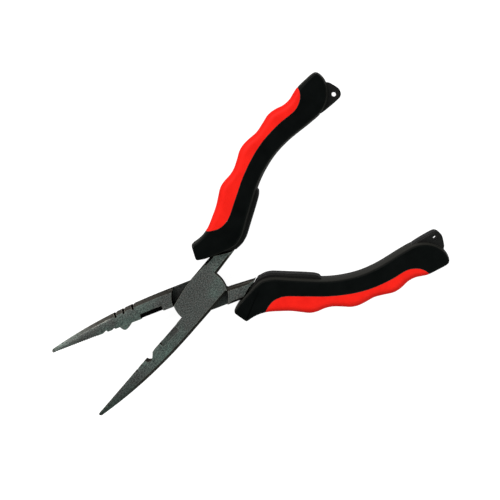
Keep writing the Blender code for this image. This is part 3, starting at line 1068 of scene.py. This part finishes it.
    def build(self) -> bpy.types.Object:
        """Build the lever and dress it."""
        side = self.bench.side
        name = f"{side.label}_lever"
        body = self.bench.lofted(f"{name}_forging", self.jaw_loops() + self.joint_loops())
        low, high = sorted((side.value * self.gap, -side.value * (self.half + BEYOND)))
        disc = circle(self.shoulder_radius, self.shoulder_steps)
        shoulder = self.bench.prism("shoulder", disc, low, high)
        tang = self.bench.prism("tang", smooth(TANG_OUTLINE, self.tang_steps),
                                -self.tang_half, self.tang_half)
        self.bench.combine(body, "UNION", [tang])
        cutters = [shoulder, *self.pockets(), self.tooth_comb(), *self.rivet_bores()]
        if side is Side.FRONT:
            cutters += self.front_cutters()
        else:
            nose = self.bench.prism("nose", CRIMP_NOSE, -self.nose_half, self.nose_half)
            self.bench.combine(body, "UNION", [nose])
            cutters += self.rear_cutters()
        self.bench.combine(body, "DIFFERENCE", cutters)
        self.bench.eased(body, self.easing)
        self.soot(body)
        return dressed(body, self.finish, side.label, name)

    def in_pocket(self, x: float, y: float, z: float) -> bool:
        """Whether a place lies in the cutter's pocket."""
        start, end = self.cutter_span
        slack = self.pocket_slack
        rim = self.half_at((start + end) / 2) - self.pocket_rim
        return (start - slack < x < end + slack
                and -self.cutter_width - slack < y < -self.gap - slack / 2
                and abs(z) < rim)

    def blackness(self, place: Vector, normal: Vector) -> float:
        """Decide how much shade is painted on one face.

        Args:
            place: The face's middle in the lever's frame, in millimetres.
            normal: The face's normal in the lever's frame.

        Returns:
            A share from 0 to 1, or less than 0 on a steep face that is left as free of painted
            shade as a flat one.
        """
        front = self.bench.side is Side.FRONT
        x, y, z = place
        y *= self.bench.side.value
        radius = math.hypot(x, y)
        upright = abs(normal.z) < UPRIGHT
        if radius < self.shoulder_radius:
            # Painted shade on the plate's upright side wall next to the other lever.
            if upright and x < self.rim_corner[0] and y > self.rim_corner[1]:
                return self.rim_soot
            # Painted shade on the flat floor of the half-lap recess, under the other lever's
            # plate.
            if abs(z) < self.recess_slack and abs(normal.z) > LEVEL:
                return self.recess_soot
        # Painted shade on the upright shoulder wall around the recess.
        at_shoulder = abs(radius - self.shoulder_radius) < self.wall_slack
        if at_shoulder and upright and abs(z) < self.half - self.wall_rim:
            return self.wall_soot
        # Painted shade on the rear cutter pocket and on the front pocket's end walls; the front
        # pocket's other faces get a value below 0, which takes away most of the painted shade of
        # steep faces.
        if self.in_pocket(x, y, z):
            return self.pocket_bare if front and abs(normal.x) <= ENDWISE else self.pocket_soot
        # Painted shade on the front jaw, growing towards its tip.
        start, run = self.tip_soot_run
        return self.tip_soot * min(max((start - x) / run, 0.0), 1.0) if front else 0.0

    def soot(self, body: bpy.types.Object) -> None:
        """Store on each face how much shade is painted on it.

        Args:
            body: The lever, still in its own frame.
        """
        mask = body.data.attributes.new("soot", "FLOAT", "FACE")
        for face in body.data.polygons:
            mask.data[face.index].value = self.blackness(face.center / MM, face.normal)


# ----------------------------------------------------------------- the handles
@dataclass
class Handle:
    """One handle: two black shells, a red finger pad and a hard core.  Sizes in millimetres."""

    bench: Bench
    half: float = 9.0
    seam: float = 0.06
    pad_gap: float = 0.10
    passage_gap: float = 0.3
    passage_half: float = 5.3
    core_half: float = 5.0
    core_gap: float = 0.12
    core_shrink: float = 0.05
    core_steps: int = 3
    core_fillet: float = 0.9
    fillet_steps: int = 5
    slot_steps: int = 2
    slot_gap: float = 0.2
    slot_half: float = 1.95
    neck_gap: float = 0.25
    hole_centre: Point = (118.4, 15.0)
    hole_radius: float = 1.1
    hole_steps: int = 32
    straight_share: float = 0.35
    crisp_reach: float = 1.8
    soft_run: float = 1.2
    round_power: float = 2.4
    crisp_power: float = 9.0
    crisp_slope: float = 0.42
    levels: int = 9
    outline_steps: int = 4
    curve_steps: int = 4
    shell_easing: Easing = Easing(0.22, 42.0)
    pad_easing: Easing = Easing(0.30, 50.0, 3)
    core_easing: Easing = Easing(0.22, 45.0)

    def edge_profile(self, reach: float) -> list[tuple[float, float]]:
        """Work out how a handle's edge turns over.

        Args:
            reach: How far the rounding reaches in, in millimetres.

        Returns:
            Pairs of height share and inset in millimetres, from the top down.
        """
        soft = min(max((reach - self.crisp_reach) / self.soft_run, 0.0), 1.0)
        power = self.round_power
        result = []
        for k in range(self.levels + 1):
            t = math.sin(math.pi / 2 * (1.0 - k / self.levels))
            height = self.straight_share + (1.0 - self.straight_share) * t
            rounded = 1.0 - max(1.0 - t ** power, 0.0) ** (1 / power)
            turned = 1.0 - max(1.0 - t ** self.crisp_power, 0.0) ** 0.5
            crisp = self.crisp_slope * t + (1.0 - self.crisp_slope) * turned
            result.append((height, reach * (soft * rounded + (1.0 - soft) * crisp)))
        return result

    def blank(self, name: str) -> bpy.types.Object:
        """Make the whole handle before it is split."""
        outline = smooth(GRIP_OUTLINE, self.outline_steps)
        facing = normals(outline)
        upper: list[Loop] = [[] for _ in range(self.levels + 1)]
        for p, n in zip(outline, facing):
            for level, (share, inset) in enumerate(self.edge_profile(p[2])):
                upper[level].append((p[0] - n.x * inset, p[1] - n.y * inset, share * self.half))
        lower = [[(x, y, -z) for x, y, z in loop] for loop in reversed(upper)]
        return self.bench.lofted(name, upper + lower)

    def shell(self, label: str, face: int) -> bpy.types.Object:
        """Build the black half shell above (face 1) or below (face -1) the seam."""
        side = self.bench.side
        name = f"{side.label}_grip_shell_{label}"
        body = self.blank(f"{name}_rubber")
        low, high = sorted((face * self.seam, face * (self.half + BEYOND)))
        region = self.bench.prism("half", HANDLE_BOX, low, high)
        self.bench.combine(body, "INTERSECT", [region])
        pad = self.bench.prism("pad", grown(self.pad_region(), self.pad_gap),
                               -self.half - BEYOND, self.half + BEYOND)
        reach = self.core_half + self.core_gap
        pocket = self.bench.prism("pocket", grown(self.core_outline(), self.core_gap),
                                  -reach, reach)
        passage = self.bench.prism("passage", grown(neck_outline(), self.passage_gap),
                                   -self.passage_half, self.passage_half)
        self.bench.combine(body, "DIFFERENCE", [pad, pocket, passage])
        self.bench.eased(body, self.shell_easing)
        return dressed(body, BLACK_RUBBER, side.label, name)

    def pad_region(self) -> Loop:
        """Flat region of the finger pad, its seam smoothed."""
        last = len(PAD_EDGE) - 1
        fine: Loop = []
        for index in range(last):
            corners = [PAD_EDGE[min(max(index + k, 0), last)] for k in (-1, 0, 1, 2)]
            fine += [curve_point(corners, step / self.curve_steps)
                     for step in range(self.curve_steps)]
        return fine + [PAD_EDGE[-1]] + PAD_OUTER

    def core_outline(self) -> Loop:
        """Flat outline of the core."""
        return smooth(CORE_OUTLINE, self.core_steps)

    def pad(self) -> bpy.types.Object:
        """Build the red finger pad."""
        side = self.bench.side
        name = f"{side.label}_finger_pad"
        body = self.blank(f"{name}_rubber")
        reach = self.half + BEYOND
        region = self.bench.prism("region", self.pad_region(), -reach, reach)
        self.bench.combine(body, "INTERSECT", [region])
        self.bench.eased(body, self.pad_easing)
        return dressed(body, RED_RUBBER, side.label, name)

    def core(self) -> bpy.types.Object:
        """Build the hard core with its inner bump and tail tab."""
        side = self.bench.side
        name = f"{side.label}_grip_core"
        outline = grown(self.core_outline(), -self.core_shrink)
        upper = []
        for k in range(self.fillet_steps + 1):
            angle = math.pi / 2 * k / self.fillet_steps
            inset = self.core_fillet * (1.0 - math.sin(angle))
            z = self.core_half - self.core_fillet * (1.0 - math.cos(angle))
            upper.append([(x, y, z) for x, y in grown(outline, -inset)])
        lower = [[(x, y, -z) for x, y, z in loop] for loop in reversed(upper)]
        body = self.bench.lofted(f"{name}_plastic", upper + lower)
        tang = smooth(TANG_OUTLINE, self.slot_steps)
        slot = self.bench.prism("slot", grown(tang, self.slot_gap),
                                -self.slot_half, self.slot_half)
        reach = self.core_half + 2 * BEYOND
        room = self.bench.prism("room", grown(neck_outline(), self.neck_gap), -reach, reach)
        eye = circle(self.hole_radius, self.hole_steps, self.hole_centre)
        hole = self.bench.prism("hole", eye, -self.core_half - BEYOND, self.core_half + BEYOND)
        self.bench.combine(body, "DIFFERENCE", [slot, room, hole])
        self.bench.eased(body, self.core_easing)
        return dressed(body, SparkPlastic(), side.label, name)

    def build(self) -> list[bpy.types.Object]:
        """Build all the handle's pieces."""
        return [self.shell("top", 1), self.shell("bottom", -1), self.pad(), self.core()]


# ------------------------------------------------------------------ the studio
@dataclass(frozen=True)
class Lamp:
    """A soft square lamp.

    It hangs towards a direction from the tool, in picture right, picture up and
    height, at a distance and with a width in metres, and gives a power in watts.
    """

    name: str
    towards: Point
    distance: float
    width: float
    power: float
    colour: Colour = (1.0, 1.0, 1.0)


@dataclass
class Studio:
    """Pale floor, soft lights and the camera."""

    pivot: Vector
    tilt: Band = (8.0, -4.0)
    roll: float = 35.80
    offset: Band = (0.024698, 0.022725)
    distance: float = 0.5
    lens: float = 71.54
    sensor: float = 36.0
    near: float = 0.01
    sky: float = 0.38
    lamps: tuple[Lamp, ...] = (
        Lamp("key", (-0.60, 0.80, 0.80), 1.4, 0.9, 22.0, (1.0, 0.97, 0.95)),
        Lamp("low", (0.55, -0.50, 0.80), 0.45, 0.30, 0.7, (0.84, 1.0, 0.92)),
        Lamp("fill", (0.9, 0.5, 0.75), 1.5, 0.9, 3.0))
    floor_size: float = 40.0
    floor_z: float = -0.0002
    floor_glow: float = 0.94
    floor_deep: Colour = (0.24, 0.24, 0.24)
    floor_pale: Colour = (0.26, 0.26, 0.26)
    floor_mottle: Grain = Grain(60.0, 3.0)
    floor_band: Band = (0.3, 0.7)
    floor_roughness: float = 0.9
    floor_gloss: float = 0.1

    def turn(self) -> Matrix:
        """Rotation from the tool's frame to the camera's."""
        return (Matrix.Rotation(math.radians(self.tilt[0]), 3, "X")
                @ Matrix.Rotation(math.radians(self.tilt[1]), 3, "Y")
                @ Matrix.Rotation(math.radians(self.roll), 3, "Z"))

    def camera(self) -> None:
        """Set up the camera."""
        back = self.turn().transposed()
        data = bpy.data.cameras.new("camera")
        data.lens = self.lens
        data.sensor_width = self.sensor
        data.clip_start = self.near
        seat = bpy.data.objects.new("camera", data)
        bpy.context.scene.collection.objects.link(seat)
        spot = self.pivot + back @ Vector((*self.offset, self.distance))
        seat.matrix_world = Matrix.Translation(spot) @ back.to_4x4()
        bpy.context.scene.camera = seat

    def hang(self, lamp: Lamp) -> None:
        """Hang one lamp.

        Args:
            lamp: What it is and where it goes.
        """
        data = bpy.data.lights.new(lamp.name, "AREA")
        data.size = lamp.width
        data.energy = lamp.power
        data.color = lamp.colour
        light = bpy.data.objects.new(lamp.name, data)
        bpy.context.scene.collection.objects.link(light)
        turned = Matrix.Rotation(math.radians(-self.roll), 3, "Z")
        across = turned @ Vector(lamp.towards).normalized()
        light.location = across * lamp.distance
        light.rotation_euler = across.to_track_quat("Z", "Y").to_euler()

    def floor(self) -> None:
        """Lay the floor."""
        half = self.floor_size / 2
        work = bmesh.new()
        corners = [work.verts.new((x * half, y * half, self.floor_z))
                   for x, y in ((-1, -1), (1, -1), (1, 1), (-1, 1))]
        work.faces.new(corners)
        mesh = bpy.data.meshes.new("floor")
        work.to_mesh(mesh)
        work.free()
        sheet = bpy.data.objects.new("floor", mesh)
        bpy.context.scene.collection.objects.link(sheet)
        s = Surface("floor_paper")
        mottle = s.between(s.noise(self.floor_mottle), *self.floor_band)
        tone = s.blend(mottle, self.floor_deep, self.floor_pale)
        mesh.materials.append(s.finish(Base_Color=tone, Roughness=self.floor_roughness,
                                       Specular_IOR_Level=self.floor_gloss,
                                       Emission_Color=(1.0, 1.0, 1.0),
                                       Emission_Strength=self.floor_glow))
        sheet.visible_glossy = False
        sheet.visible_diffuse = False

    def build(self) -> None:
        """Build the studio."""
        world = bpy.data.worlds.new("studio")
        bpy.context.scene.world = world
        world.use_nodes = True
        sky = world.node_tree.nodes["Background"]
        sky.inputs["Color"].default_value = (1.0, 1.0, 1.0, 1.0)
        sky.inputs["Strength"].default_value = self.sky
        for lamp in self.lamps:
            self.hang(lamp)
        self.floor()
        bpy.context.scene.view_settings.view_transform = "Standard"


def main() -> None:
    """Build the pliers around the frame."""
    logging.basicConfig(level=logging.INFO, format="%(name)s: %(message)s")
    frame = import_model()
    hinge = frame["joints"][0]
    pivot = Vector(hinge["pos_m"])
    studio = Studio(pivot)
    studio.camera()
    opening = math.radians(hinge["range_deg"][1])
    for side, radius in PLATE_RADII.items():
        place = (Matrix.Translation(pivot)
                 @ Matrix.Rotation(side.value * opening / 2, 4, "Z"))
        bench = Bench(side, place)
        rivet = Rivet(bench)
        Lever(bench, radius, rivet).build()
        Handle(bench).build()
        if side is Side.FRONT:
            rivet.build()
    studio.build()


if __name__ == "__main__":
    main()
